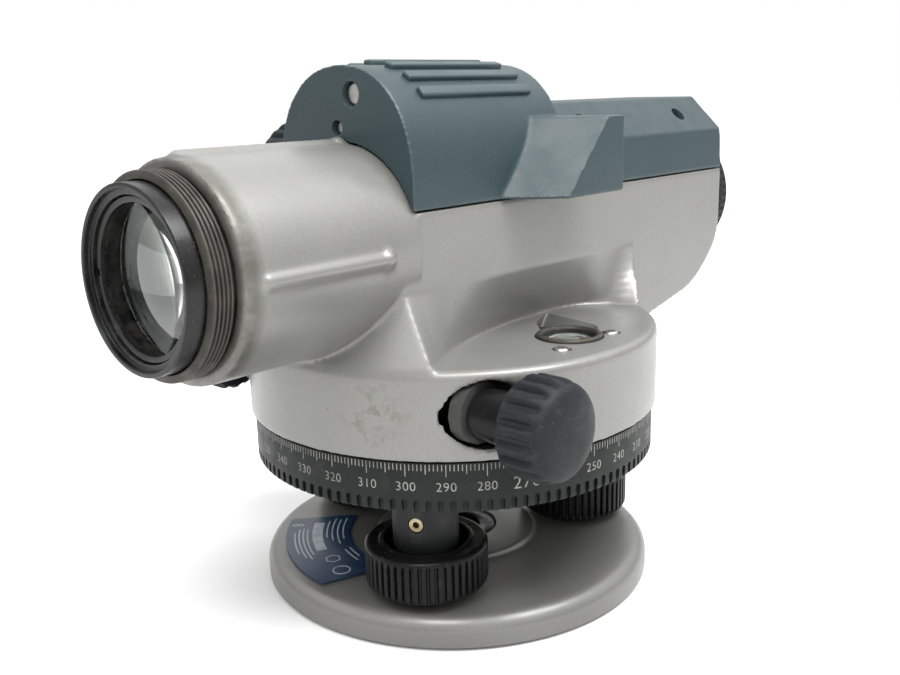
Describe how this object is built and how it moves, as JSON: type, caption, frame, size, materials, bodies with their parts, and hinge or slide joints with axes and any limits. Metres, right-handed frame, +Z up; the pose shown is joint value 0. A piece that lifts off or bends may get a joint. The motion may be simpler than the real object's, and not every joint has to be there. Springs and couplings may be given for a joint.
{
  "type": "automatic level",
  "caption": "Surveyor's automatic level: telescope head with circular bubble on a graduated circle, levelled by foot screws on a round base plate.",
  "frame": {"origin": "centre of the base plate's underside, on the vertical axis", "axes": "+Z up along the vertical axis, +X along the line of sight towards the eyepiece, objective towards -X"},
  "size_m": [0.215, 0.136, 0.1423],
  "materials": {
    "silver_paint": "fine metallic silver-grey paint, slightly pebbled, with handling dirt",
    "teal_plastic": "moulded dark teal plastic with a fine grain and dust",
    "dark_coating": "dark grey satin coating",
    "black_plastic": "black moulded plastic",
    "soft_rubber": "black rubber, dusty and matt",
    "black_anodised": "gloss black coating",
    "steel": "turned steel",
    "brass": "turned brass",
    "tarnished_brass": "dull brown tarnished metal",
    "label": null,
    "mirror_glass": "silvered glass",
    "lens_glass": "coated optical glass"
  },
  "bodies": {
    "base": {"base_plate": "silver_paint", "tripod_thread_insert": "steel", "rating_label": "label", "foot_retainer_1": "brass", "foot_retainer_2": "brass", "foot_retainer_3": "brass"},
    "foot_screw_1": {"foot_screw_knob_1": "black_plastic", "foot_screw_spindle_1": "steel"},
    "foot_screw_2": {"foot_screw_knob_2": "black_plastic", "foot_screw_spindle_2": "steel"},
    "foot_screw_3": {"foot_screw_knob_3": "black_plastic", "foot_screw_spindle_3": "steel"},
    "spring_plate": {"spring_plate": "steel"},
    "tribrach": {"tribrach_plate": "dark_coating", "foot_bush_1": "dark_coating", "foot_bush_2": "dark_coating", "foot_bush_3": "dark_coating", "bush_set_screw_1": "brass", "bush_set_screw_2": "brass", "bush_set_screw_3": "brass", "vertical_spindle": "steel"},
    "circle": {"horizontal_circle": "dark_coating"},
    "worm_wheel": {"worm_wheel": "brass", "clutch_washer": "steel"},
    "housing": {"lower_housing": "silver_paint", "spindle_bush": "brass", "top_cover": "teal_plastic", "level_mirror": "mirror_glass", "vial_ring": "tarnished_brass", "vial_glass": "lens_glass", "vial_screw_1": "steel", "vial_screw_2": "steel", "vial_screw_3": "steel", "cover_screw_1": "steel", "cover_screw_2": "steel", "objective_collar": "tarnished_brass", "objective_ring": "black_anodised", "objective_retainer": "black_anodised", "objective_lens": "lens_glass", "drive_bearing_left": "dark_coating", "drive_bearing_right": "dark_coating", "compensator_frame": "dark_coating", "reticle_mount": "dark_coating", "reticle": "lens_glass", "eyepiece_mount": "black_plastic"},
    "drive": {"drive_shaft": "steel", "drive_worm": "brass", "drive_hub_left": "black_plastic", "drive_hub_right": "black_plastic", "drive_knob_left": "soft_rubber", "drive_knob_right": "soft_rubber"},
    "focus_knob": {"focusing_knob": "soft_rubber", "focusing_pinion": "steel"},
    "focus_carriage": {"focusing_lens_cell": "dark_coating", "focusing_lens": "lens_glass"},
    "pendulum": {"pendulum_arm": "brass", "pendulum_prism": "lens_glass"},
    "eyepiece": {"eyepiece_cell": "dark_coating", "eyepiece_lens": "lens_glass"},
    "eyepiece_ring": {"eyepiece_ring": "soft_rubber"}
  },
  "joints": [
    {"name": "foot_1_turn", "type": "hinge", "parent": "base", "child": "foot_screw_1", "pos_m": [-0.03248, -0.01913, 0], "axis": [0, 0, 1], "range_deg": [-280, 280]},
    {"name": "foot_2_turn", "type": "hinge", "parent": "base", "child": "foot_screw_2", "pos_m": [0.03281, -0.01856, 0], "axis": [0, 0, 1], "range_deg": [-160, 160]},
    {"name": "foot_3_turn", "type": "hinge", "parent": "base", "child": "foot_screw_3", "pos_m": [-0.00033, 0.0377, 0], "axis": [0, 0, 1], "range_deg": [-160, 160]},
    {"name": "level_pitch", "type": "hinge", "parent": "base", "child": "spring_plate", "pos_m": [0.01624, 0.00957, 0.0045], "axis": [-0.5075, 0.8616, 0], "range_deg": [-0.8, 0.8]},
    {"name": "level_roll", "type": "hinge", "parent": "spring_plate", "child": "tribrach", "pos_m": [0.01624, 0.00957, 0.0045], "axis": [-0.8616, -0.5075, 0], "range_deg": [-0.8, 0.8]},
    {"name": "circle_turn", "type": "hinge", "parent": "tribrach", "child": "circle", "pos_m": [0, 0, 0.045], "axis": [0, 0, 1], "continuous": true},
    {"name": "azimuth_clutch", "type": "hinge", "parent": "tribrach", "child": "worm_wheel", "pos_m": [0, 0, 0.061], "axis": [0, 0, 1], "continuous": true},
    {"name": "azimuth_fine", "type": "hinge", "parent": "worm_wheel", "child": "housing", "pos_m": [0, 0, 0.061], "axis": [0, 0, 1], "continuous": true},
    {"name": "drive_turn", "type": "hinge", "parent": "housing", "child": "drive", "pos_m": [-0.0355, 0, 0.0614], "axis": [0, 1, 0], "continuous": true},
    {"name": "focus_turn", "type": "hinge", "parent": "housing", "child": "focus_knob", "pos_m": [-0.009, 0, 0.1095], "axis": [0, 1, 0], "range_deg": [-138, 138]},
    {"name": "focus_slide", "type": "slide", "parent": "housing", "child": "focus_carriage", "axis": [1, 0, 0], "range_m": [-0.006, 0.006]},
    {"name": "compensator_swing", "type": "hinge", "parent": "housing", "child": "pendulum", "pos_m": [0.03, 0, 0.114], "axis": [0, 1, 0], "range_deg": [-0.4, 0.4]},
    {"name": "eyepiece_slide", "type": "slide", "parent": "housing", "child": "eyepiece", "axis": [1, 0, 0], "range_m": [-0.0009, 0.0009]},
    {"name": "eyepiece_turn", "type": "hinge", "parent": "eyepiece", "child": "eyepiece_ring", "pos_m": [0.114, 0, 0.0975], "axis": [1, 0, 0], "range_deg": [-173, 173]}
  ],
  "couplings": [
    {"joint": "level_pitch", "follows": "foot_1_turn", "ratio": 0.0028144},
    {"joint": "level_roll", "follows": "foot_2_turn", "ratio": 0.0048747},
    {"joint": "foot_3_turn", "follows": "foot_2_turn", "ratio": -1},
    {"joint": "drive_turn", "follows": "azimuth_fine", "ratio": 60},
    {"joint": "focus_turn", "follows": "focus_slide", "rad_per_m": -400},
    {"joint": "eyepiece_turn", "follows": "eyepiece_slide", "rad_per_m": 3333.3}
  ]
}
